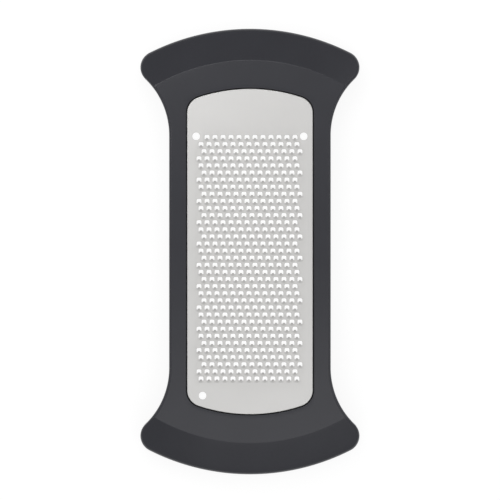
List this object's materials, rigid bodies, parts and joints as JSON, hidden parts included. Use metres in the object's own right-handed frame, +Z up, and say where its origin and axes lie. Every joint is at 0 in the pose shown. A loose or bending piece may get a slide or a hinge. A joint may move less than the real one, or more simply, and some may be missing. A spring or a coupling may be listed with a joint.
{
  "type": "fine bowl grater",
  "caption": "Bow-tie shaped fine grater: an etched steel blade with rows of raised teeth in a dark moulded frame whose ribbed ends rest across a bowl's rim.",
  "frame": {"origin": "middle of the plane that the grips' ribs rest on, under the centre of the grater", "axes": "+Z up out of the toothed face, +Y along the grater towards the end that the teeth point to, +X across it"},
  "size_m": [0.118, 0.2406, 0.0223],
  "materials": {
    "frame_plastic": "fine matte, dark warm grey",
    "base_plastic": "plain moulded, darker grey",
    "grip_rubber": "soft, dull, near black",
    "blade_steel": "satin, etched"
  },
  "bodies": {
    "root": {"upper_shell": "frame_plastic", "lower_shell": "base_plastic", "blade": "blade_steel", "rim_grip_front": "grip_rubber", "rim_grip_rear": "grip_rubber"}
  },
  "joints": []
}
